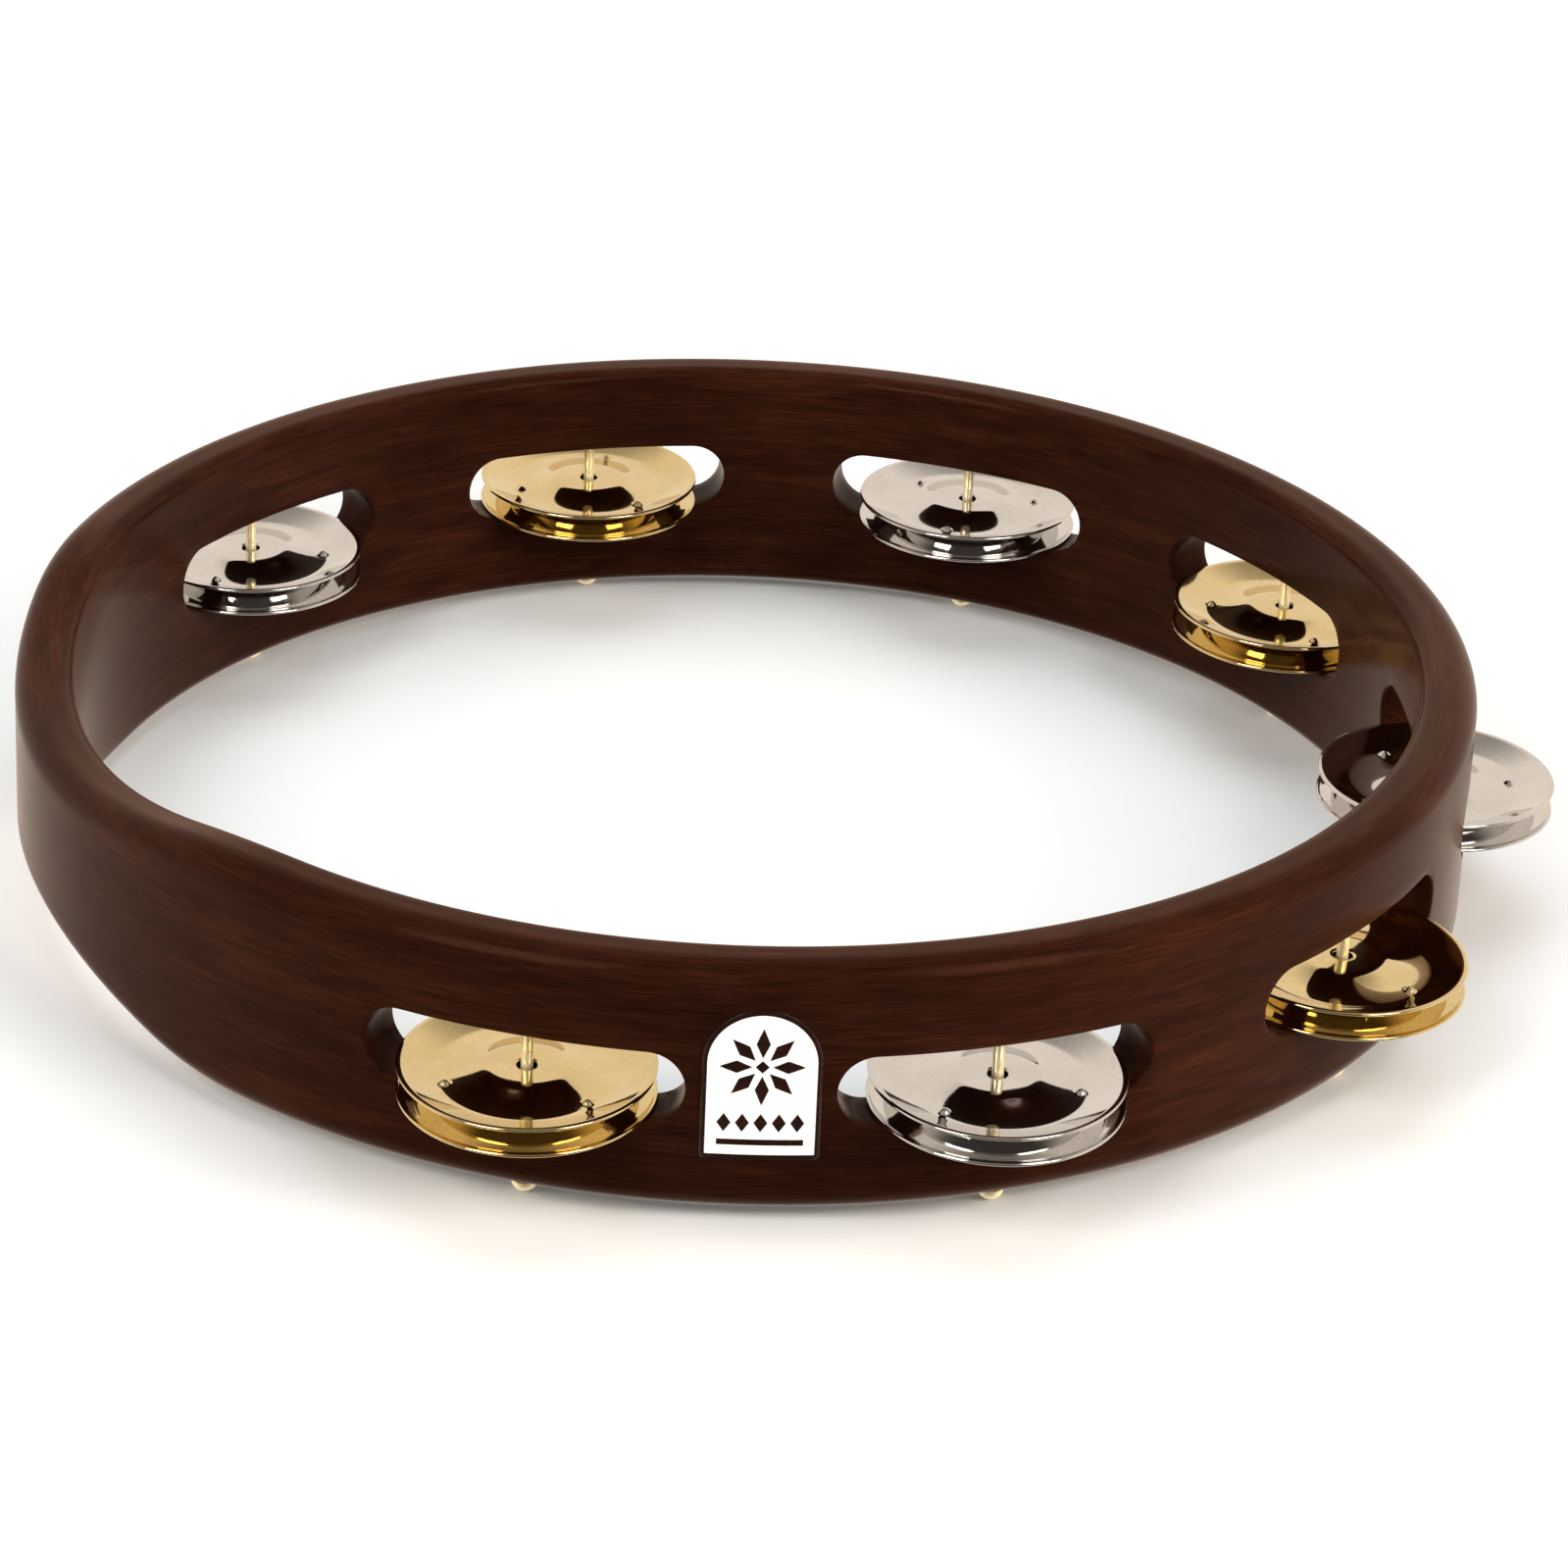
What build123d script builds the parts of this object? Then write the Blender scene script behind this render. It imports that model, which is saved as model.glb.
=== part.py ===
"""Headless wooden tambourine: a bent hoop with eight slots, and a pair of jingles on a pin in each.

Millimetres. The hoop's axis is Z, and Z = 0 is the surface that the eight pin heads stand on.
The hand grip is centred on -X. Slots are numbered anticlockwise from the grip, seen from above.
"""

import math
import os

from build123d import *

# Hoop
outer_radius = 127.0
wall = 10.0
hoop_height = 44.0
outer_rounding = 4.5
inner_rounding = 2.5

# Slots, cut towards the hoop's axis, so that they are a little shorter on the inside
slot_count = 8
slot_pitch = 35.1
slot_length = 53.6
slot_height = 12.5

# Hand grip: a long shallow scoop in both rims, opposite the middle of the slots
grip_depth = 6.7
grip_hollow_radius = 260.0
grip_shoulder_radius = 100.0

# Pins: nails driven up through the bottom rail, ending blind in the top rail
pin_radius = 1.0
pin_bite = 9.0
pin_point = 2.0
pin_head_radius = 2.1
pin_head_height = 2.2
pin_head_rim = 0.3
pin_bore_clearance = 0.02

# How far each pin was driven from the middle of its slot, in degrees round the hoop
pin_offsets = (0.0, 0.5, 0.5, 0.0, 0.0, 0.0, 0.0, 0.0)

# Jingles: a low flat-topped crown round the hole, a valley, and a flange that flares up to a flat lip
jingle_radius = 20.8
jingle_hole_radius = 1.65
sheet = 0.5
crown_rise = 1.54
crown_top_radius = 5.8
crown_top_sag = 0.05
shoulder_radius = 7.4
shoulder_drop = 0.35
valley_radius = 14.2
flange_foot_radius = 15.4
flange_foot_rise = 0.19
flange_rise = 2.0
lip_width = 0.8

# Three small pips stand out of each jingle's valley, turned differently in every slot
pip_count = 3
pip_radius = 0.95
pip_circle = 13.4
pip_root = 0.15
pip_top = 0.85
pip_rounding = 0.4
pip_turns = (64.0, 60.0, 117.0, 7.0, 17.0, 62.0, 92.0, 105.0)
pip_turn_of_lower = 25.0

# Loose jingles lie a little down on their outer side, each pair by its own angle in degrees
jingle_tilts = (2.0, 2.0, 2.0, 1.0, 1.5, 0.5, 0.0, 0.0)

# Air between a jingle and what it lies on
jingle_gap = 0.1

# Sticker on the outer wall, midway between the first two slots
badge_width = 19.1
badge_height = 26.6
badge_thickness = 0.15
badge_above_foot = 10.3
badge_corner = 0.8

# Derived heights, radii and angles
hoop_foot = pin_head_height
hoop_top = hoop_foot + hoop_height
inner_radius = outer_radius - wall
pin_circle = outer_radius - wall / 2
slot_middle = hoop_foot + hoop_height / 2
slot_floor = slot_middle - slot_height / 2
slot_roof = slot_middle + slot_height / 2
slot_end_angle = math.degrees(math.asin((slot_length - slot_height) / 2 / outer_radius))
pin_tip = slot_roof + pin_bite
slot_angles = [(index - (slot_count - 1) / 2) * slot_pitch for index in range(slot_count)]
pin_angles = [angle + offset for angle, offset in zip(slot_angles, pin_offsets)]
badge_angle = (slot_angles[0] + slot_angles[1]) / 2

# Derived shape of a grip scoop: a hollow arc that meets a shoulder arc on each side
grip_half_length = (grip_depth * (2 * (grip_hollow_radius + grip_shoulder_radius) - grip_depth)) ** 0.5
grip_join_y = grip_half_length * grip_hollow_radius / (grip_hollow_radius + grip_shoulder_radius)
grip_join_depth = grip_depth * grip_shoulder_radius / (grip_hollow_radius + grip_shoulder_radius)


os.makedirs("parts", exist_ok=True)


def outward(angle):
    """Unit vector from the hoop's axis towards this angle."""
    return Vector(1, 0, 0).rotate(Axis.Z, angle)


def pin_foot(angle, height):
    """Point on the axis of the pin at this angle."""
    return outward(angle) * pin_circle + Vector(0, 0, height)


def wall_plane(angle, height):
    """Plane through the hoop's axis that faces out at this angle, with its own Y pointing up."""
    return Plane(origin=(0, 0, height), x_dir=outward(angle + 90), z_dir=outward(angle))


def radial_plane(angle, height):
    """Upright plane that holds the hoop's axis and this direction, with its own Y pointing up."""
    return Plane(origin=(0, 0, height), x_dir=outward(angle), z_dir=outward(angle - 90))


def jingle_section(angle, height, up, tilt):
    """Plane through a jingle's own axis: its X points out, tilted down, and its Y to the crown side."""
    tilted_out = outward(angle) * math.cos(math.radians(tilt)) - Vector(0, 0, math.sin(math.radians(tilt)))
    return Plane(origin=pin_foot(angle, height), x_dir=tilted_out, z_dir=outward(angle - 90) * up)


def distance_from_axis(edge):
    """How far the middle of an edge is from the hoop's axis."""
    middle = edge @ 0.5
    return math.hypot(middle.X, middle.Y)


def draw_scoop(rim, into_wood):
    """Outline of a grip scoop in the rim at this height; into_wood is +1 upwards or -1 downwards."""
    left_join = (-grip_join_y, rim + into_wood * grip_join_depth)
    right_join = (grip_join_y, rim + into_wood * grip_join_depth)
    TangentArc((-grip_half_length, rim), left_join, tangent=(1, 0))
    ThreePointArc(left_join, (0, rim + into_wood * grip_depth), right_join)
    TangentArc((grip_half_length, rim), right_join, tangent=(-1, 0))
    Line((-grip_half_length, rim), (grip_half_length, rim))


def draw_sheet_face(lift):
    """One face of a jingle's sheet in section, from the hole to the rim; returns its two ends."""
    crown_edge = (crown_top_radius, crown_rise - crown_top_sag + lift)
    shoulder_end = (shoulder_radius, crown_rise - shoulder_drop + lift)
    flange_foot = (flange_foot_radius, flange_foot_rise + lift)
    flange_end = (jingle_radius - lip_width, flange_rise + lift)
    crown = TangentArc((jingle_hole_radius, crown_rise + lift), crown_edge, tangent=(1, 0))
    shoulder = TangentArc(crown @ 1, shoulder_end, tangent=crown % 1)
    hollow = TangentArc(shoulder @ 1, (valley_radius, lift), tangent=shoulder % 1)
    valley = TangentArc(hollow @ 1, flange_foot, tangent=hollow % 1)
    flange = TangentArc(valley @ 1, flange_end, tangent=valley % 1)
    lip = Line(flange @ 1, (jingle_radius, flange_rise + lift))
    return crown @ 0, lip @ 1


# The hoop: a plain ring, scooped for the hand, then rounded, slotted and bored
with BuildPart() as wood_frame:
    with BuildSketch(Plane.XY.offset(hoop_foot)):
        Circle(outer_radius)
        Circle(inner_radius, mode=Mode.SUBTRACT)
    extrude(amount=hoop_height)

    for rim, into_wood in ((hoop_top, -1), (hoop_foot, 1)):
        with BuildSketch(Plane.YZ):
            with BuildLine():
                draw_scoop(rim, into_wood)
            make_face()
        extrude(amount=-outer_radius - wall, mode=Mode.SUBTRACT)

    rims = wood_frame.edges() - wood_frame.edges().filter_by(Axis.Z)
    fillet([edge for edge in rims if distance_from_axis(edge) > pin_circle], radius=outer_rounding)
    rims = wood_frame.edges() - wood_frame.edges().filter_by(Axis.Z)
    inner_rims = [edge for edge in rims if distance_from_axis(edge) < inner_radius + inner_rounding / 2]
    fillet(inner_rims, radius=inner_rounding)

    for slot_angle, pin_angle in zip(slot_angles, pin_angles):
        with BuildSketch(radial_plane(slot_angle - slot_end_angle, slot_middle)):
            with Locations((pin_circle, 0)):
                Rectangle(2 * wall, slot_height)
        revolve(axis=Axis.Z, revolution_arc=2 * slot_end_angle, mode=Mode.SUBTRACT)
        for end_angle in (slot_angle - slot_end_angle, slot_angle + slot_end_angle):
            with BuildSketch(wall_plane(end_angle, slot_middle)):
                Circle(slot_height / 2)
            extrude(amount=outer_radius + wall, mode=Mode.SUBTRACT)
        with BuildSketch(Plane(origin=pin_foot(pin_angle, hoop_foot))):
            Circle(pin_radius + pin_bore_clearance)
        extrude(amount=pin_tip + pin_bore_clearance - hoop_foot, mode=Mode.SUBTRACT)
wood_frame.part.label = "wood_frame"
export_step(wood_frame.part, "parts/wood_frame.step")


# The pins: domed head under the hoop, plain shank across the slot, short point in the top rail
for number, angle in enumerate(pin_angles, start=1):
    with BuildPart() as jingle_pin:
        with BuildSketch(jingle_section(angle, 0, 1, 0)):
            with BuildLine():
                dome_height = pin_head_height - pin_head_rim
                EllipticalCenterArc(
                    (0, dome_height), pin_head_radius, dome_height, start_angle=270, arc_size=90
                )
                Polyline(
                    (pin_head_radius, dome_height),
                    (pin_head_radius, pin_head_height),
                    (pin_radius, pin_head_height),
                    (pin_radius, pin_tip - pin_point),
                    (0, pin_tip),
                    (0, 0),
                )
            make_face()
        revolve(axis=Axis(pin_foot(angle, 0), (0, 0, 1)))
    jingle_pin.part.label = f"jingle_pin_{number}"
    export_step(jingle_pin.part, f"parts/jingle_pin_{number}.step")


# The jingles: each slot holds two of the same stamped disc, back to back, the lower one upside down
for number, angle in enumerate(pin_angles, start=1):
    tilt = jingle_tilts[number - 1]
    floor_clearance = jingle_gap + wall / 2 * math.sin(math.radians(tilt))
    lower_valley = slot_floor + floor_clearance + flange_rise + sheet / 2
    upper_valley = lower_valley + sheet + jingle_gap
    for name, valley_height, up in (("lower_jingle", lower_valley, -1), ("upper_jingle", upper_valley, 1)):
        pip_turn = pip_turns[number - 1]
        if up < 0:
            pip_turn += pip_turn_of_lower
        section = jingle_section(angle, valley_height, up, tilt)
        disc_axis = Axis(section.origin, section.y_dir)
        pip_plane = Plane(
            origin=section.origin + section.y_dir * pip_root, x_dir=section.x_dir, z_dir=section.y_dir
        )
        with BuildPart() as jingle:
            with BuildSketch(section):
                with BuildLine():
                    back_hole, back_rim = draw_sheet_face(-sheet / 2)
                    front_hole, front_rim = draw_sheet_face(sheet / 2)
                    Line(back_hole, front_hole)
                    Line(back_rim, front_rim)
                make_face()
            revolve(axis=disc_axis)
            with BuildSketch(pip_plane):
                with PolarLocations(pip_circle, pip_count, start_angle=pip_turn):
                    Circle(pip_radius)
            extrude(amount=pip_top - pip_root)
            pip_crowns = jingle.faces(Select.LAST).filter_by(disc_axis).edges()
            fillet(pip_crowns, radius=pip_rounding)
        jingle.part.label = f"{name}_{number}"
        export_step(jingle.part, f"parts/{name}_{number}.step")


# The sticker: an arch-topped piece of a thin shell round the hoop
with BuildPart() as rim_badge:
    badge_foot = hoop_foot + badge_above_foot
    arch_radius = badge_width / 2
    with BuildSketch(Plane.XY.offset(badge_foot)):
        Circle(outer_radius + badge_thickness)
        Circle(outer_radius, mode=Mode.SUBTRACT)
    extrude(amount=badge_height)
    with BuildSketch(wall_plane(badge_angle, badge_foot)) as arch:
        with Locations((0, (badge_height - arch_radius) / 2)):
            Rectangle(badge_width, badge_height - arch_radius)
        with Locations((0, badge_height - arch_radius)):
            Circle(arch_radius)
        fillet(arch.vertices().group_by(Axis.Y)[0], radius=badge_corner)
    extrude(amount=outer_radius + wall, mode=Mode.INTERSECT)
rim_badge.part.label = "rim_badge"
export_step(rim_badge.part, "parts/rim_badge.step")
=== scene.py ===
import math

import bmesh
import bpy
from mathutils import Matrix, Vector


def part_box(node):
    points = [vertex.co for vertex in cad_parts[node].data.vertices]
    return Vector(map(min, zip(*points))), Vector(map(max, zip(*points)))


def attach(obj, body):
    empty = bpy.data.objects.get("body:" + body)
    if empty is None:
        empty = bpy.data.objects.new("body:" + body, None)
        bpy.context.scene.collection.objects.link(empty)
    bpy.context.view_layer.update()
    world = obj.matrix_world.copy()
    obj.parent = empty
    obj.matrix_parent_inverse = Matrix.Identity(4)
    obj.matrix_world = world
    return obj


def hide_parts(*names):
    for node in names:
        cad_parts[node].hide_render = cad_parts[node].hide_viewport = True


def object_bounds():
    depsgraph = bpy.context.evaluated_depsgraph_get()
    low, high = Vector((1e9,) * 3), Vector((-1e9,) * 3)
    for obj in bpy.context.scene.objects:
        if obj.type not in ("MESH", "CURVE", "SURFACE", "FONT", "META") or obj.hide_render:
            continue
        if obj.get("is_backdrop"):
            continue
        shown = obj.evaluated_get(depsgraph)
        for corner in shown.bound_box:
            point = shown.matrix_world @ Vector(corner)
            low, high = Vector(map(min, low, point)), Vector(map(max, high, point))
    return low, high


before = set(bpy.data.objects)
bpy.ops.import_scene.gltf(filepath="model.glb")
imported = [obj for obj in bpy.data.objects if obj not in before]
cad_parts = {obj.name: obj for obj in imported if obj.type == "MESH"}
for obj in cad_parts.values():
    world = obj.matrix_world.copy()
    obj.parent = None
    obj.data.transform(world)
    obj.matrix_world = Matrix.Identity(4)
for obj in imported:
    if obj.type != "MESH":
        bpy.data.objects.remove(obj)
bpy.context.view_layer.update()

MM = 0.001

# ---------------------------------------------------------------- what the frame says
SLOTS = range(1, 9)
hoop_lo, hoop_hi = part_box("wood_frame")
OUTER = (hoop_hi.x - hoop_lo.x) / 2
WALL = 10.0 * MM


# ---------------------------------------------------------------- node helpers
def new_material(name):
    mat = bpy.data.materials.new(name)
    mat.use_nodes = True
    nt = mat.node_tree
    nt.nodes.clear()
    out = nt.nodes.new("ShaderNodeOutputMaterial")
    bsdf = nt.nodes.new("ShaderNodeBsdfPrincipled")
    nt.links.new(bsdf.outputs[0], out.inputs[0])
    return mat, nt, bsdf


class Net:
    """Short names for building a node tree."""

    def __init__(self, nt):
        self.nt = nt

    def node(self, kind, **props):
        n = self.nt.nodes.new(kind)
        for k, v in props.items():
            setattr(n, k, v)
        return n

    def put(self, socket, value):
        if isinstance(value, bpy.types.NodeSocket):
            self.nt.links.new(value, socket)
        elif value is not None:
            socket.default_value = value

    def math(self, op, a, b=None, c=None):
        n = self.node("ShaderNodeMath", operation=op)
        for s, v in zip(n.inputs, (a, b, c)):
            self.put(s, v)
        return n.outputs[0]

    def vec(self, x, y, z):
        n = self.node("ShaderNodeCombineXYZ")
        for s, v in zip(n.inputs, (x, y, z)):
            self.put(s, v)
        return n.outputs[0]

    def sep(self, v):
        n = self.node("ShaderNodeSeparateXYZ")
        self.put(n.inputs[0], v)
        return n.outputs

    def noise(self, vector, scale, detail=2.0, rough=0.5, w=None, distortion=0.0):
        n = self.node("ShaderNodeTexNoise", noise_dimensions="4D" if w is not None else "3D")
        self.put(n.inputs["Vector"], vector)
        if w is not None:
            self.put(n.inputs["W"], w)
        n.inputs["Scale"].default_value = scale
        n.inputs["Detail"].default_value = detail
        n.inputs["Roughness"].default_value = rough
        n.inputs["Distortion"].default_value = distortion
        return n.outputs["Fac"]

    def remap(self, v, a, b, c, d, smooth=False):
        n = self.node("ShaderNodeMapRange")
        n.interpolation_type = "SMOOTHSTEP" if smooth else "LINEAR"
        self.put(n.inputs["Value"], v)
        for key, val in zip(("From Min", "From Max", "To Min", "To Max"), (a, b, c, d)):
            n.inputs[key].default_value = val
        return n.outputs["Result"]

    def mix(self, fac, a, b, blend="MIX"):
        n = self.node("ShaderNodeMix", data_type="RGBA", blend_type=blend)
        self.put(n.inputs["Factor"], fac)
        self.put(n.inputs[6], a)
        self.put(n.inputs[7], b)
        return n.outputs[2]

    def ramp(self, fac, stops):
        n = self.node("ShaderNodeValToRGB")
        els = n.color_ramp.elements
        while len(els) < len(stops):
            els.new(0.5)
        for e, (pos, col) in zip(els, stops):
            e.position = pos
            e.color = (*col, 1.0)
        self.put(n.inputs[0], fac)
        return n.outputs[0]

    def bump(self, height, strength, distance):
        n = self.node("ShaderNodeBump")
        self.put(n.inputs["Height"], height)
        n.inputs["Strength"].default_value = strength
        n.inputs["Distance"].default_value = distance
        return n.outputs[0]


# ---------------------------------------------------------------- materials
def hoop_coordinates(net):
    """Round the hoop (as a point on a unit circle), across the wall and up it, in millimetres."""
    tex = net.node("ShaderNodeTexCoord")
    x, y, z = net.sep(tex.outputs["Object"])
    r = net.math("SQRT", net.math("ADD", net.math("MULTIPLY", x, x), net.math("MULTIPLY", y, y)))
    cx = net.math("DIVIDE", x, r)
    cy = net.math("DIVIDE", y, r)
    return cx, cy, net.math("MULTIPLY", r, 1000.0), net.math("MULTIPLY", z, 1000.0)


def wood_colour(net):
    """Stained, close-grained hardwood bent round the hoop: returns colour, roughness and height."""
    cx, cy, r, z = hoop_coordinates(net)

    def grain(around, along_z, along_r, detail, rough=0.55, shift=0.0, distortion=0.0):
        v = net.vec(
            net.math("MULTIPLY_ADD", cx, around, shift),
            net.math("MULTIPLY", cy, around),
            net.math("MULTIPLY", z, along_z),
        )
        return net.noise(v, 1.0, detail, rough, w=net.math("MULTIPLY", r, along_r), distortion=distortion)

    clouds = grain(2.2, 0.035, 0.04, 2.0, shift=3.1)
    bands = grain(5.0, 0.30, 0.30, 3.0, shift=7.7, distortion=0.4)
    fibre = grain(16.0, 2.6, 2.6, 3.0, 0.6, shift=1.3)
    pores = grain(34.0, 6.5, 6.5, 1.0, 0.4, shift=11.9)
    base = net.ramp(
        net.math("ADD", net.math("MULTIPLY", bands, 0.55), net.math("MULTIPLY", clouds, 0.45)),
        [
            (0.30, (0.0085, 0.0024, 0.0015)),
            (0.50, (0.0160, 0.0046, 0.0024)),
            (0.68, (0.0290, 0.0086, 0.0040)),
        ],
    )
    streak = net.remap(fibre, 0.35, 0.70, 0.66, 1.40)
    col = net.mix(1.0, base, net.vec(streak, streak, streak), "MULTIPLY")
    pore = net.remap(pores, 0.62, 0.74, 0.0, 1.0, smooth=True)
    col = net.mix(net.math("MULTIPLY", pore, 0.55), col, (0.006, 0.0025, 0.0018, 1.0))
    rough = net.remap(fibre, 0.3, 0.7, 0.17, 0.25)
    height = net.math("SUBTRACT", net.math("MULTIPLY", fibre, 0.5), net.math("MULTIPLY", pore, 0.8))
    return col, rough, height


def wood_material():
    mat, nt, b = new_material("hoop_wood")
    net = Net(nt)
    col, rough, height = wood_colour(net)
    net.put(b.inputs["Base Color"], col)
    net.put(b.inputs["Roughness"], rough)
    b.inputs["Specular IOR Level"].default_value = 0.04
    b.inputs["Specular Tint"].default_value = (1.0, 0.50, 0.30, 1.0)
    b.inputs["Sheen Weight"].default_value = 0.06
    b.inputs["Sheen Roughness"].default_value = 0.45
    b.inputs["Sheen Tint"].default_value = (1.0, 0.42, 0.22, 1.0)
    net.put(b.inputs["Normal"], net.bump(height, 0.06, 0.00006))
    return mat


def metal_material(name, colour, deep, rough_lo, rough_hi, metallic=1.0):
    mat, nt, b = new_material(name)
    net = Net(nt)
    tex = net.node("ShaderNodeTexCoord")
    obj = tex.outputs["Object"]
    mottle = net.noise(obj, 1400.0, 3.0, 0.6)
    broad = net.noise(obj, 90.0, 2.0, 0.5)
    fac = net.math("ADD", net.math("MULTIPLY", mottle, 0.5), net.math("MULTIPLY", broad, 0.5))
    shade = net.remap(fac, 0.35, 0.65, 0.0, 1.0)
    net.put(b.inputs["Base Color"], net.mix(shade, (*deep, 1.0), (*colour, 1.0)))
    net.put(b.inputs["Roughness"], net.remap(mottle, 0.3, 0.7, rough_lo, rough_hi))
    b.inputs["Metallic"].default_value = metallic
    net.put(b.inputs["Normal"], net.bump(mottle, 0.05, 0.00002))
    return mat


def badge_material(turn, low):
    """Arched print on clear film: a rosette of lozenges, a row of lozenges and a plain bar."""
    mat, nt, b = new_material("badge_film")
    net = Net(nt)
    tex = net.node("ShaderNodeTexCoord")
    x, y, z = net.sep(tex.outputs["Object"])
    across = net.math("MULTIPLY", x, -1000.0 * math.sin(turn))
    u = net.math("MULTIPLY_ADD", y, 1000.0 * math.cos(turn), across)
    v = net.math("MULTIPLY_ADD", z, 1000.0, -low)
    au = net.math("ABSOLUTE", u)

    def inside(distance, soft=0.07):
        return net.remap(distance, -soft, soft, 1.0, 0.0)

    # the white arch-topped panel, in millimetres across and up from the film's foot
    over = net.math("MAXIMUM", net.math("SUBTRACT", v, 17.05), 0.0)
    reach = net.math("SQRT", net.math("ADD", net.math("MULTIPLY", u, u), net.math("MULTIPLY", over, over)))
    arch = inside(net.math("SUBTRACT", reach, 8.65))
    panel = net.math("MULTIPLY", arch, inside(net.math("SUBTRACT", 0.9, v)))
    # rosette: eight lozenges round a small one
    dv = net.math("SUBTRACT", v, 16.6)
    rr = net.math("SQRT", net.math("ADD", net.math("MULTIPLY", u, u), net.math("MULTIPLY", dv, dv)))
    th = net.math("ARCTAN2", dv, u)
    cell = net.math("PINGPONG", th, math.pi / 8)
    off = net.math("MULTIPLY", rr, net.math("SINE", cell))
    petal = net.math("ADD", net.math("DIVIDE", net.math("ABSOLUTE", net.math("SUBTRACT", rr, 4.2)), 2.7),
                     net.math("DIVIDE", off, 1.15))
    petal = inside(net.math("MULTIPLY", net.math("SUBTRACT", petal, 1.0), 1.2))
    core = inside(net.math("SUBTRACT", net.math("ADD", au, net.math("ABSOLUTE", dv)), 1.15))
    # row of lozenges, with a bar below it
    step = net.math("PINGPONG", u, 1.45)
    row = net.math("ADD", net.math("DIVIDE", step, 1.15),
                   net.math("DIVIDE", net.math("ABSOLUTE", net.math("SUBTRACT", v, 6.6)), 1.7))
    row = net.math("MULTIPLY", inside(net.math("SUBTRACT", row, 1.0)), inside(net.math("SUBTRACT", au, 7.2)))
    level = net.math("ABSOLUTE", net.math("SUBTRACT", v, 3.1))
    bar = inside(net.math("SUBTRACT", level, 0.55))
    bar = net.math("MULTIPLY", bar, inside(net.math("SUBTRACT", au, 6.9)))
    dark = net.math("MAXIMUM", net.math("MAXIMUM", petal, core), net.math("MAXIMUM", row, bar))
    white = net.math("MULTIPLY", panel, net.math("SUBTRACT", 1.0, dark))
    fleck = net.noise(tex.outputs["Object"], 900.0, 3.0, 0.6)
    shade = net.remap(fleck, 0.35, 0.7, 0.93, 1.0)
    paper = net.mix(1.0, (0.93, 0.93, 0.92, 1.0), net.vec(shade, shade, shade), "MULTIPLY")
    wood, _, _ = wood_colour(net)
    net.put(b.inputs["Base Color"], net.mix(white, wood, paper))
    net.put(b.inputs["Roughness"], net.remap(fleck, 0.3, 0.7, 0.22, 0.32))
    b.inputs["Specular IOR Level"].default_value = 0.3
    net.put(b.inputs["Normal"], net.bump(white, 0.10, 0.00003))
    return mat


WOOD = wood_material()
BRASS = metal_material("jingle_brass_metal", (0.78, 0.637, 0.355), (0.66, 0.522, 0.262), 0.04, 0.085)
STEEL = metal_material("jingle_steel_metal", (0.71, 0.700, 0.688), (0.61, 0.596, 0.579), 0.04, 0.085)
PIN = metal_material("pin_metal_plate", (0.95, 0.86, 0.60), (0.90, 0.79, 0.50), 0.16, 0.24, 0.50)


# ---------------------------------------------------------------- meshes
def finish_mesh(name, verts, faces, material):
    me = bpy.data.meshes.new(name)
    me.from_pydata(verts, [], faces)
    me.validate()
    bm = bmesh.new()
    bm.from_mesh(me)
    bmesh.ops.delete(bm, geom=[v for v in bm.verts if not v.link_faces], context="VERTS")
    bmesh.ops.recalc_face_normals(bm, faces=bm.faces)
    bm.to_mesh(me)
    bm.free()
    me.shade_smooth()
    me.materials.append(material)
    return me


def link(obj):
    bpy.context.scene.collection.objects.link(obj)
    return obj


# The hoop, in millimetres about its own axis
R_OUT, R_IN = OUTER / MM, (OUTER - WALL) / MM
Z_BOT, Z_TOP = hoop_lo.z / MM, hoop_hi.z / MM
Z_MID = (Z_BOT + Z_TOP) / 2
ROUND_OUT, ROUND_IN = 4.5, 2.5
SLOT_LENGTH, SLOT_HEIGHT, SLOT_PITCH = 53.6, 12.5, 35.1
SLOT_ANGLES = [(i - 3.5) * SLOT_PITCH for i in range(8)]
SLOT_HALF = SLOT_HEIGHT / 2
SLOT_END = math.degrees(math.asin((SLOT_LENGTH - SLOT_HEIGHT) / 2 / 127.0))
# half the angle of the wall patch that is meshed round a slot, and the slot's rounded edge
SLOT_REACH = 14.5
EDGE = 0.35
GRIP_DEPTH, GRIP_HOLLOW, GRIP_SHOULDER = 6.7, 260.0, 100.0
GRIP_HALF = math.sqrt(GRIP_DEPTH * (2 * (GRIP_HOLLOW + GRIP_SHOULDER) - GRIP_DEPTH))
GRIP_JOIN = GRIP_HALF * GRIP_HOLLOW / (GRIP_HOLLOW + GRIP_SHOULDER)


def scoop(x, y):
    """Depth of the grip scoop at this place on the hoop."""
    y = abs(y)
    if x > 0 or y >= GRIP_HALF:
        return 0.0
    if y <= GRIP_JOIN:
        return GRIP_DEPTH - (GRIP_HOLLOW - math.sqrt(GRIP_HOLLOW ** 2 - y * y))
    return GRIP_SHOULDER - math.sqrt(GRIP_SHOULDER ** 2 - (GRIP_HALF - y) ** 2)


# mesh rows up the wall and columns across the patch round a slot
ROWS = 12
COLS = 40
# degrees between the columns of plain wall between the patches
PLAIN_STEP = 0.75


def hoop_point(angle, radius, height):
    a = math.radians(angle)
    return (radius * math.cos(a), radius * math.sin(a), height)


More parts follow.
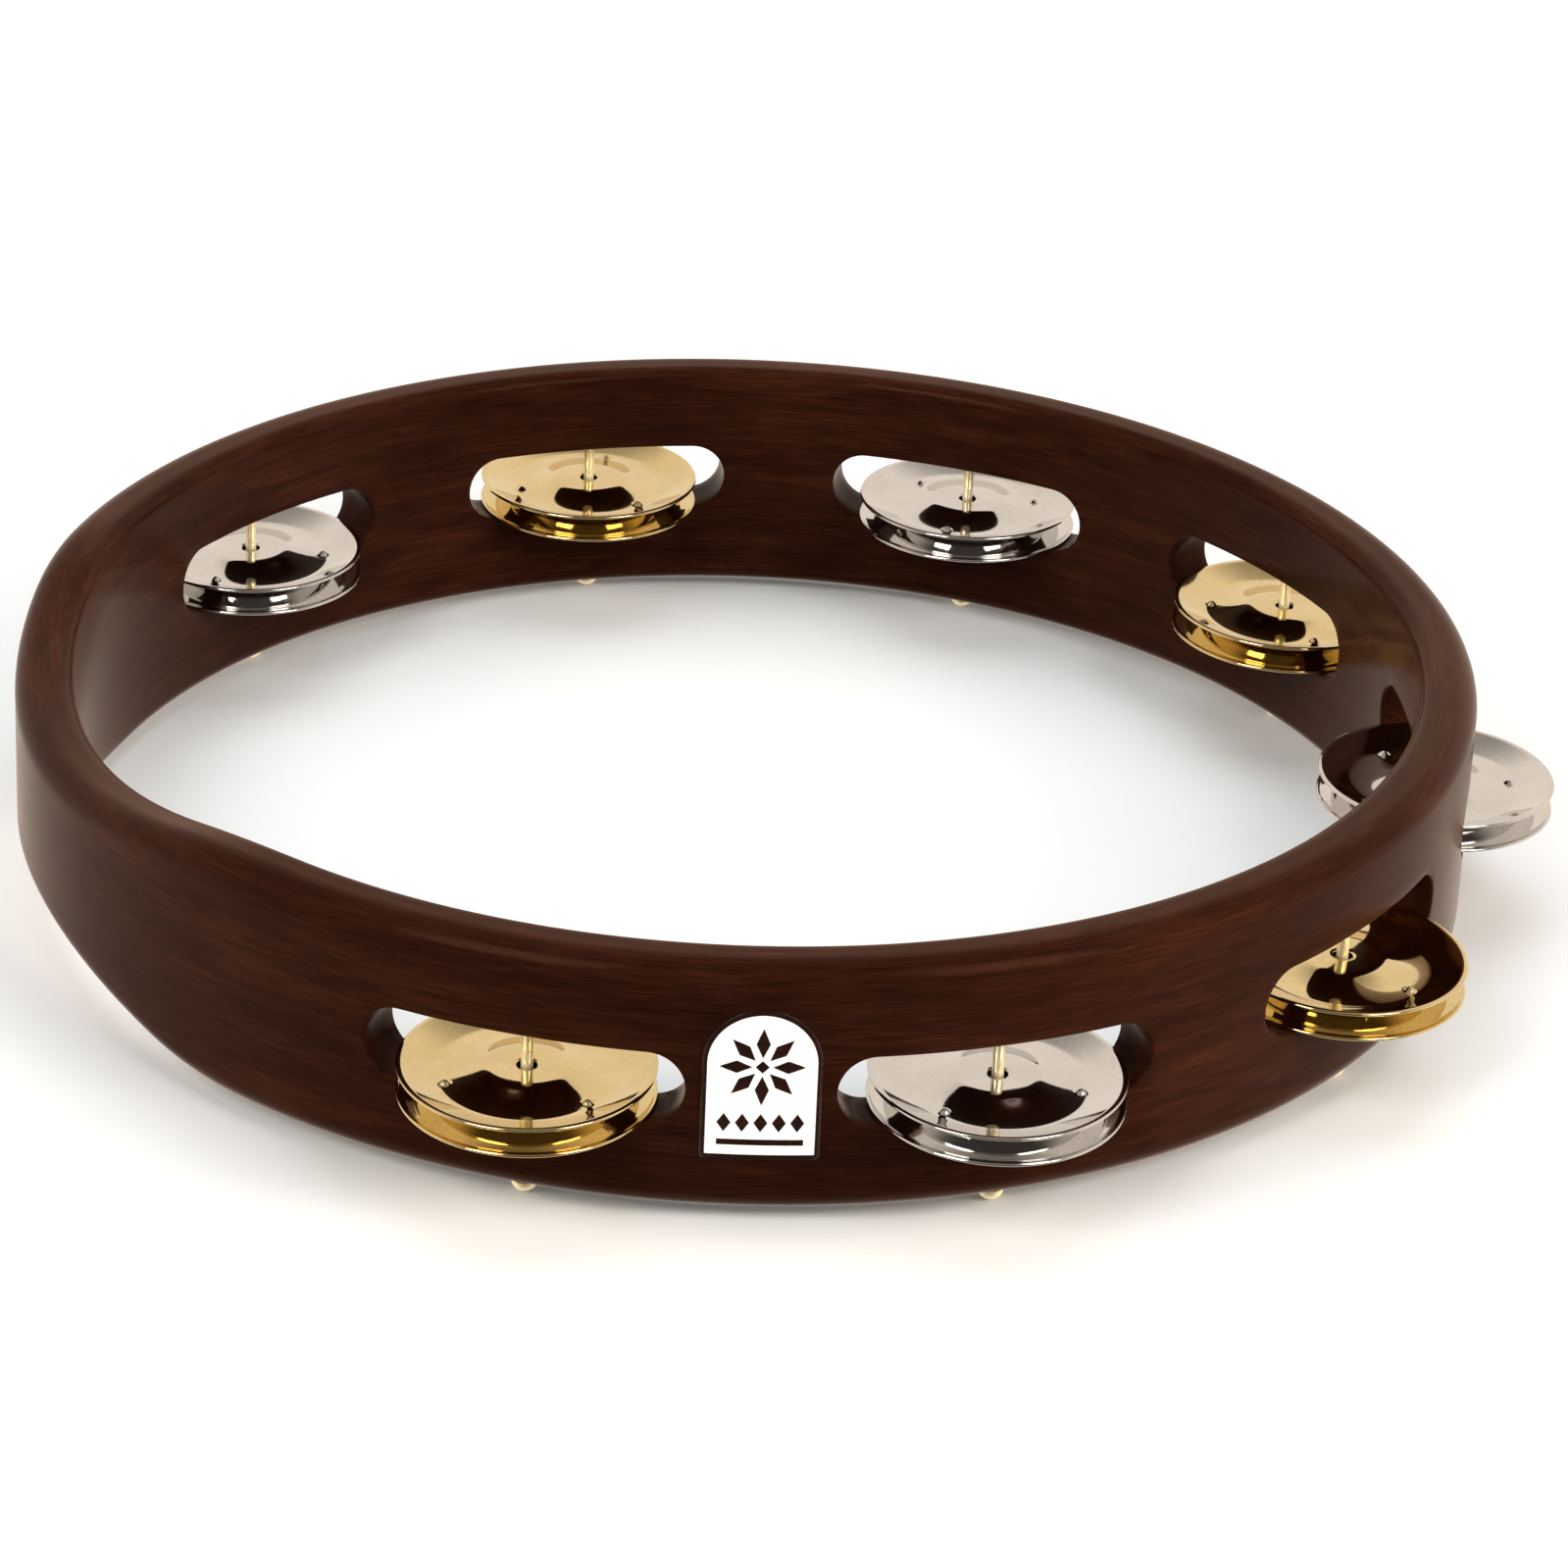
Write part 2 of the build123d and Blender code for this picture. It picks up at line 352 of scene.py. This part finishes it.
def rim_section():
    """Top half of the ring's section: (radius, drop from the top rim), from the outer wall to the inner."""
    pts = []
    for i in range(11):
        a = math.radians(i * 9)
        pts.append((R_OUT - ROUND_OUT * (1 - math.cos(a)), ROUND_OUT * (1 - math.sin(a))))
    for i in range(1, 4):
        pts.append((R_OUT - ROUND_OUT - (WALL / MM - ROUND_OUT - ROUND_IN) * i / 4, 0.0))
    for i in range(9):
        a = math.radians(90 - i * 11.25)
        pts.append((R_IN + ROUND_IN * (1 - math.cos(a)), ROUND_IN * (1 - math.sin(a))))
    return pts


def slot_outline():
    """The slot's outline: (end, angle in degrees) or (straight, share of its half length)."""
    out = []
    quarter, side = 6, ROWS
    # right end, going up from -45 to +45 degrees
    for i in range(side):
        out.append(("right", -45 + 90 * i / side))
    for i in range(quarter):
        out.append(("right", 45 + 45 * i / quarter))
    flat = COLS - 2 * quarter
    for i in range(flat):
        out.append(("top", 1 - 2 * i / flat))
    for i in range(quarter):
        out.append(("left", 90 + 45 * i / quarter))
    for i in range(side):
        out.append(("left", 135 + 90 * i / side))
    for i in range(quarter):
        out.append(("left", 225 + 45 * i / quarter))
    for i in range(flat):
        out.append(("bottom", -1 + 2 * i / flat))
    for i in range(quarter):
        out.append(("right", 270 + 45 * i / quarter))
    return out


def slot_place(kind, value, grow, radius):
    """Angle from the slot's middle (degrees) and height from its middle for one outline point."""
    if kind in ("top", "bottom"):
        z = SLOT_HALF + grow
        return SLOT_END * value, z if kind == "top" else -z
    a = math.radians(value)
    across = (SLOT_HALF + grow) * math.cos(a)
    z = (SLOT_HALF + grow) * math.sin(a)
    end = SLOT_END if kind == "right" else -SLOT_END
    return end + math.degrees(math.asin(across / radius)), z


def hoop_columns():
    """Angles of the mesh's columns, and where each slot's patch starts in them."""
    angles, starts = [], []
    for n, centre in enumerate(SLOT_ANGLES):
        starts.append(len(angles))
        for i in range(COLS + 1):
            angles.append(centre - SLOT_REACH + 2 * SLOT_REACH * i / COLS)
        nxt = SLOT_ANGLES[n + 1] - SLOT_REACH if n < 7 else SLOT_ANGLES[0] - SLOT_REACH + 360
        last = angles[-1]
        gap = nxt - last
        steps = round(gap / PLAIN_STEP)
        for i in range(1, steps):
            angles.append(last + gap * i / steps)
    return angles, starts


def hoop_column(angle, rim, add):
    """One column: points up the outer wall, up the inner wall, and over the top and the bottom rim."""
    walls = []
    for radius, rounding in ((R_OUT, ROUND_OUT), (R_IN, ROUND_IN)):
        x, y, _ = hoop_point(angle, radius, 0)
        cut = scoop(x, y)
        hi, lo = Z_TOP - cut - rounding, Z_BOT + cut + rounding
        walls.append([add(hoop_point(angle, radius, lo + (hi - lo) * k / ROWS)) for k in range(ROWS + 1)])
    outer, inner = walls
    up, down = [outer[-1]], [outer[0]]
    for radius, drop in rim[1:-1]:
        x, y, _ = hoop_point(angle, radius, 0)
        cut = scoop(x, y)
        up.append(add(hoop_point(angle, radius, Z_TOP - cut - drop)))
        down.append(add(hoop_point(angle, radius, Z_BOT + cut + drop)))
    up.append(inner[-1])
    down.append(inner[0])
    return outer, inner, up, down


def patch_border(grid, start):
    """The border of a slot's patch on one wall, in the same order as the slot's outline."""
    loop = [grid[start + COLS][k] for k in range(ROWS)]
    loop += [grid[start + COLS - i][ROWS] for i in range(COLS)]
    loop += [grid[start][ROWS - k] for k in range(ROWS)]
    loop += [grid[start + i][0] for i in range(COLS)]
    return loop


def wall_rings(border, centre, outline, radius, inward, verts, add):
    """Rings on one wall, from the patch's border to the slot and round its edge into the wood."""
    rings = [border]
    for f in (0.3, 0.6, 0.85):
        ring = []
        for k, (kind, value) in enumerate(outline):
            p = verts[border[k]]
            a0 = math.degrees(math.atan2(p[1], p[0])) - centre
            a0 = (a0 + 180) % 360 - 180
            z0 = p[2] / MM
            a1, z1 = slot_place(kind, value, EDGE, radius)
            height = z0 + (Z_MID + z1 - z0) * f
            ring.append(add(hoop_point(centre + a0 + (a1 - a0) * f, radius, height)))
        rings.append(ring)
    for turn in (0, 30, 60, 90):
        t = math.radians(turn)
        grow, depth = EDGE * (1 - math.sin(t)), EDGE * (1 - math.cos(t))
        rings.append(slot_ring(centre, outline, radius + inward * depth, radius, grow, add))
    return rings


def slot_ring(centre, outline, radius, outline_radius, grow, add):
    """The slot's outline, made larger by grow where it meets outline_radius, laid at radius."""
    ring = []
    for kind, value in outline:
        a1, z1 = slot_place(kind, value, grow, outline_radius)
        ring.append(add(hoop_point(centre + a1, radius, Z_MID + z1)))
    return ring


def hoop_mesh(name, material):
    """The whole hoop as one closed skin: rims, walls, and a sleeve through each slot."""
    verts, faces = [], []

    def add(p):
        verts.append((p[0] * MM, p[1] * MM, p[2] * MM))
        return len(verts) - 1

    angles, starts = hoop_columns()
    in_slot = {i for start in starts for i in range(start, start + COLS)}
    rim = rim_section()
    columns = [hoop_column(a, rim, add) for a in angles]
    outer, inner, top, bottom = ([column[side] for column in columns] for side in range(4))
    count = len(angles)
    for i in range(count):
        j = (i + 1) % count
        for k in range(len(rim) - 1):
            faces.append((top[i][k], top[j][k], top[j][k + 1], top[i][k + 1]))
            faces.append((bottom[i][k + 1], bottom[j][k + 1], bottom[j][k], bottom[i][k]))
        if i in in_slot:
            continue
        for k in range(ROWS):
            faces.append((outer[i][k], outer[j][k], outer[j][k + 1], outer[i][k + 1]))
            faces.append((inner[i][k + 1], inner[j][k + 1], inner[j][k], inner[i][k]))

    outline = slot_outline()
    for start, centre in zip(starts, SLOT_ANGLES):
        border = patch_border(outer, start)
        outside = wall_rings(border, centre, outline, R_OUT, -1, verts, add)
        border = patch_border(inner, start)
        inside = wall_rings(border, centre, outline, R_IN, 1, verts, add)
        sleeve = []
        for step in (1, 2, 3):
            radius = R_OUT - EDGE + (R_IN - R_OUT + 2 * EDGE) * step / 4
            sleeve.append(slot_ring(centre, outline, radius, radius, 0, add))
        chain = outside + sleeve + list(reversed(inside))
        for a, b in zip(chain, chain[1:]):
            for k in range(len(outline)):
                following = (k + 1) % len(outline)
                faces.append((a[k], a[following], b[following], b[k]))
    return finish_mesh(name, verts, faces, material)


hoop = link(bpy.data.objects.new("hoop_bent_wood", hoop_mesh("hoop_bent_wood", WOOD)))
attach(hoop, "frame")
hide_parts("wood_frame")


def tangent_arc(p0, t0, p1, steps):
    """Points on the circle through p0 with tangent t0 and through p1, p0 left out, and the end tangent."""
    p0, p1, t0 = Vector(p0), Vector(p1), Vector(t0).normalized()
    n = Vector((-t0.y, t0.x))
    d = p1 - p0
    k = 2 * d.dot(n) / d.length_squared
    if abs(k) < 1e-9:
        return [p0 + d * (i / steps) for i in range(1, steps + 1)], t0
    turn = 2 * math.atan2(d.dot(n), d.dot(t0))
    pts = []
    for i in range(1, steps + 1):
        a = turn * i / steps
        pts.append(p0 + t0 * (math.sin(a) / k) + n * ((1 - math.cos(a)) / k))
    return pts, t0 * math.cos(turn) + n * math.sin(turn)


JINGLE_R = 20.8
HOLE_R = 1.65
SHEET = 0.5
CROWN_RISE, FLANGE_R, FLANGE_RISE = 1.54, 20.0, 2.0
# where the section's arcs end, as (radius, height) and the number of steps
SECTION = (
    ((5.8, 1.49), 6),
    ((7.4, 1.19), 8),
    ((14.2, 0.0), 20),
    ((15.4, 0.19), 8),
    ((FLANGE_R, FLANGE_RISE), 14),
)


def jingle_profile():
    """Mid-surface of the pressed sheet, from the hole to the rim, as (radius, height) in millimetres."""
    pts, t = [Vector((HOLE_R, CROWN_RISE))], Vector((1, 0))
    for corner, steps in SECTION:
        arc, t = tangent_arc(pts[-1], t, corner, steps)
        pts += arc
    pts += [Vector((FLANGE_R + 0.8 * i / 4, FLANGE_RISE)) for i in range(1, 5)]
    return pts


def height_at(profile, r):
    for a, b in zip(profile, profile[1:]):
        if r <= b.x:
            f = (r - a.x) / (b.x - a.x)
            return a.y + (b.y - a.y) * f
    return profile[-1].y


PIP_CIRCLE, PIP_R, PIP_H = 13.4, 1.15, 0.72


def pip_height(d):
    """A small round dome with a soft foot."""
    if d >= PIP_R:
        return 0.0
    u = d / PIP_R
    crown = 0.55
    if u > crown:
        return PIP_H * (1 - u * u) ** 1.5
    return PIP_H * (1 - (1 - (1 - crown ** 2) ** 1.5) * (u / crown) ** 2)


def thinned(values, least):
    """The values in order, without those that come too close after the one before."""
    values = sorted(values)
    kept = [values[0]]
    for v in values[1:]:
        if v - kept[-1] > least:
            kept.append(v)
    return kept


def sheet_section(radii):
    """Closed section as (radius, lift): up face out to the rim, round it, down face back, round the hole."""
    edge, rim_round, hole_round = SHEET / 2, 0.22, 0.15
    flat = [r for r in radii if HOLE_R + 0.12 < r < JINGLE_R - 0.2]
    loop = [(r, edge) for r in flat]
    for a in (75, 45, 15, -15, -45, -75):
        a = math.radians(a)
        loop.append((JINGLE_R - rim_round + rim_round * math.cos(a), edge * math.sin(a)))
    loop += [(r, -edge) for r in reversed(flat)]
    for a in (-60, -20, 20, 60):
        a = math.radians(a)
        loop.append((HOLE_R + hole_round - hole_round * math.cos(a), edge * math.sin(a)))
    return loop


def jingle_mesh(name, material):
    """One pressed disc about its own axis, crown up, at the height of its valley."""
    prof = jingle_profile()
    radii = set(round(p.x, 4) for p in prof)
    r = PIP_CIRCLE - PIP_R - 0.1
    while r < PIP_CIRCLE + PIP_R + 0.1:
        radii.add(round(r, 4))
        r += 0.13
    radii = thinned(radii, 0.06)
    radii[-1] = JINGLE_R
    # columns, closer together at the three pips
    columns = set()
    for i in range(120):
        columns.add(round(i * 3.0, 4))
    step = math.degrees(0.13 / PIP_CIRCLE)
    for k in range(3):
        a = -10 * step
        while a <= 10 * step + 1e-6:
            columns.add(round((k * 120 + a) % 360, 4))
            a += step
    cols = thinned(columns, 0.25)
    centres = []
    for k in range(3):
        a = math.radians(k * 120)
        centres.append(Vector((PIP_CIRCLE * math.cos(a), PIP_CIRCLE * math.sin(a))))

    loop = sheet_section(radii)
    verts, faces = [], []
    for c in cols:
        ca, sa = math.cos(math.radians(c)), math.sin(math.radians(c))
        for rr, lift in loop:
            x, y = rr * ca, rr * sa
            z = height_at(prof, rr) + lift
            if abs(rr - PIP_CIRCLE) < PIP_R + 0.2:
                for q in centres:
                    d = math.hypot(x - q.x, y - q.y)
                    if d < PIP_R:
                        z += pip_height(d)
            verts.append((x * MM, y * MM, z * MM))
    n, m = len(cols), len(loop)
    for i in range(n):
        j = (i + 1) % n
        for k in range(m):
            l = (k + 1) % m
            faces.append((i * m + k, i * m + l, j * m + l, j * m + k))
    return finish_mesh(name, verts, faces, material)


DISCS = {
    "jingle_brass": jingle_mesh("jingle_disc_brass", BRASS),
    "jingle_steel": jingle_mesh("jingle_disc_steel", STEEL),
}
TILTS = (2.0, 2.0, 2.0, 1.0, 1.5, 0.5, 0.0, 0.0)
PIP_TURNS = (64, 60, 117, 7, 17, 62, 92, 105)
for number in SLOTS:
    slot = "jingle_brass" if number % 2 else "jingle_steel"
    pin_lo, pin_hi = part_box(f"jingle_pin_{number}")
    pin = (pin_lo + pin_hi) / 2
    out = Vector((pin.x, pin.y, 0)).normalized()
    tilt = math.radians(TILTS[number - 1])
    slope = out * math.cos(tilt) - Vector((0, 0, math.sin(tilt)))
    for side, up in (("lower", -1), ("upper", 1)):
        node = f"{side}_jingle_{number}"
        lo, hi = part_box(node)
        # from the middle of the valley to the flat lip's outer face, out at the rim
        reach = ((FLANGE_RISE + SHEET / 2) * math.cos(tilt) + JINGLE_R * math.sin(tilt)) * MM
        height = hi.z - reach if up > 0 else lo.z + reach
        axis = (out * math.sin(tilt) + Vector((0, 0, math.cos(tilt)))) * up
        basis = Matrix((slope, axis.cross(slope), axis)).transposed().to_4x4()
        turn = PIP_TURNS[number - 1] + (25.0 if up < 0 else 0.0)
        obj = link(bpy.data.objects.new(f"disc_{side}_{number}", DISCS[slot]))
        obj.matrix_world = (
            Matrix.Translation((pin.x, pin.y, height)) @ basis @ Matrix.Rotation(math.radians(turn), 4, "Z")
        )
        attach(obj, node)
        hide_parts(node)

# the badge: a thin arched film that follows the wall
badge_lo, badge_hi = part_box("rim_badge")
BADGE_TURN = math.radians(-105.3)
BADGE_W, BADGE_H = 9.55, (badge_hi.z - badge_lo.z) / MM
BADGE_CORNER, BADGE_FILM = 0.8, 0.15


def badge_mesh(name, material):
    straight = BADGE_H - BADGE_W - BADGE_CORNER
    heights = [0.0, 0.06, 0.2, 0.45, BADGE_CORNER]
    heights += [BADGE_CORNER + straight * i / 8 for i in range(1, 9)]
    heights += [BADGE_H - BADGE_W + BADGE_W * math.sin(math.radians(4.0 * i)) for i in range(1, 22)]
    heights.append(BADGE_H - 0.004)
    verts, faces = [], []
    n = 24
    for radius in (R_OUT + BADGE_FILM, R_OUT + 0.01):
        for v in heights:
            half = BADGE_W
            if v < BADGE_CORNER:
                drop = BADGE_CORNER - v
                half = BADGE_W - BADGE_CORNER + math.sqrt(max(BADGE_CORNER ** 2 - drop ** 2, 0.0))
            elif v > BADGE_H - BADGE_W:
                half = math.sqrt(max(BADGE_W ** 2 - (v - BADGE_H + BADGE_W) ** 2, 0.04))
            for c in range(n + 1):
                a = math.degrees(BADGE_TURN) + math.degrees(half * (2 * c / n - 1) / R_OUT)
                x, y, z = hoop_point(a, radius, badge_lo.z / MM + v)
                verts.append((x * MM, y * MM, z * MM))
    m, w = len(heights), n + 1
    back = m * w
    for i in range(m - 1):
        for c in range(n):
            q = (i * w + c, i * w + c + 1, (i + 1) * w + c + 1, (i + 1) * w + c)
            faces.append(q)
            faces.append(tuple(back + k for k in reversed(q)))
    border = [c for c in range(w)] + [i * w + n for i in range(1, m)]
    border += [(m - 1) * w + c for c in range(n - 1, -1, -1)] + [i * w for i in range(m - 2, 0, -1)]
    for a, b in zip(border, border[1:] + border[:1]):
        faces.append((b, a, back + a, back + b))
    return finish_mesh(name, verts, faces, material)


BADGE = badge_material(BADGE_TURN, badge_lo.z / MM)
badge = link(bpy.data.objects.new("badge_film", badge_mesh("badge_film", BADGE)))
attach(badge, "frame")
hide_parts("rim_badge")

# carried-over nodes
for name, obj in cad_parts.items():
    if name.startswith("jingle_pin"):
        obj.data.materials.clear()
        obj.data.materials.append(PIN)

# ---------------------------------------------------------------- stage
bpy.ops.mesh.primitive_plane_add(size=8.0, location=(0, 0, 0))
floor = bpy.context.object
floor.name = "floor"
mat, nt, b = new_material("floor_paper")
b.inputs["Base Color"].default_value = (0.58, 0.622, 0.665, 1)
b.inputs["Roughness"].default_value = 0.9
b.inputs["Specular IOR Level"].default_value = 0.1
floor.data.materials.append(mat)
floor.visible_glossy = False
floor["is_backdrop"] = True

# which way the camera stands from the hoop, and what is on its right
FRONT = Vector((-0.3015, -0.9535, 0.0)).normalized()
RIGHT = Vector((0.9535, -0.3015, 0.0)).normalized()

# world: a soft dome, dark on the side that the camera stands on and dim overhead
world = bpy.data.worlds.new("studio")
bpy.context.scene.world = world
world.use_nodes = True
wn = Net(world.node_tree)
world.node_tree.nodes.clear()
wout = wn.node("ShaderNodeOutputWorld")
bg = wn.node("ShaderNodeBackground")
world.node_tree.links.new(bg.outputs[0], wout.inputs[0])
geo = wn.node("ShaderNodeTexCoord")


def towards(direction):
    dot = wn.node("ShaderNodeVectorMath", operation="DOT_PRODUCT")
    wn.put(dot.inputs[0], geo.outputs["Generated"])
    dot.inputs[1].default_value = direction
    return dot.outputs["Value"]


facing = wn.remap(towards(FRONT), 0.15, 0.72, 1.00, 0.10, smooth=True)
sides = wn.remap(wn.math("ABSOLUTE", towards(RIGHT)), 0.5, 1.0, 1.0, 1.05, smooth=True)
overhead = wn.remap(towards(Vector((0, 0, 1))), 0.62, 0.92, 0.0, 1.0, smooth=True)
level = wn.math("MULTIPLY", facing, sides)
level = wn.math("MULTIPLY", level, wn.math("SUBTRACT", 1.0, overhead))
level = wn.math("ADD", level, wn.math("MULTIPLY", overhead, 0.38))
wn.put(bg.inputs["Strength"], level)
bg.inputs["Color"].default_value = (1.0, 0.88, 0.76, 1)


def area(name, where, at, size, power, colour=(1, 1, 1), shine=True):
    d = bpy.data.lights.new(name, "AREA")
    d.shape = "RECTANGLE"
    d.size, d.size_y = size
    d.energy = power
    d.color = colour
    o = bpy.data.objects.new(name, d)
    o.location = where
    o.rotation_euler = (Vector(at) - Vector(where)).to_track_quat("-Z", "Y").to_euler()
    o.visible_glossy = shine
    return link(o)


area("top_fill", (0.2, 0.65, 1.55), (0, 0, 0), (1.6, 1.6), 20.0, (0.94, 0.98, 1.0), shine=False)
for name, side, power in (("right_fill", 1.1, 19.0), ("left_fill", -1.1, 11.0)):
    where = RIGHT * side + FRONT * 0.45 + Vector((0, 0, 0.45))
    area(name, where, (0, 0, 0), (0.6, 0.6), power, (1.0, 0.80, 0.62), shine=False)
for name, turn, power in (("left_box", 36.0, 9.0), ("right_box", -44.0, 7.5)):
    heading = FRONT * math.cos(math.radians(turn)) - RIGHT * math.sin(math.radians(turn))
    area(name, heading * 1.0 + Vector((0, 0, 0.85)), (0, 0, 0.02), (0.48, 0.60), power, (1.0, 0.96, 0.90))

# camera, at the photograph's viewing angle
cam_data = bpy.data.cameras.new("camera")
cam_data.lens = 134.6
cam_data.sensor_width = 36.0
cam_data.clip_start, cam_data.clip_end = 0.05, 50.0
cam = link(bpy.data.objects.new("camera", cam_data))
eye = Vector((-0.27998, -0.88529, 0.47339))
target = Vector((0.00701, -0.00222, 0.01615))
fwd = (target - eye).normalized()
right = fwd.cross(Vector((0, 0, 1))).normalized()
up = right.cross(fwd)
roll = math.radians(2.526)
r2 = right * math.cos(roll) + up * math.sin(roll)
u2 = up * math.cos(roll) - right * math.sin(roll)
cam.matrix_world = Matrix.Translation(eye) @ Matrix((r2, u2, -fwd)).transposed().to_4x4()
bpy.context.scene.camera = cam

scene = bpy.context.scene
scene.view_settings.view_transform = "Standard"
scene.view_settings.look = "None"

bpy.context.view_layer.update()
lo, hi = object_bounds()
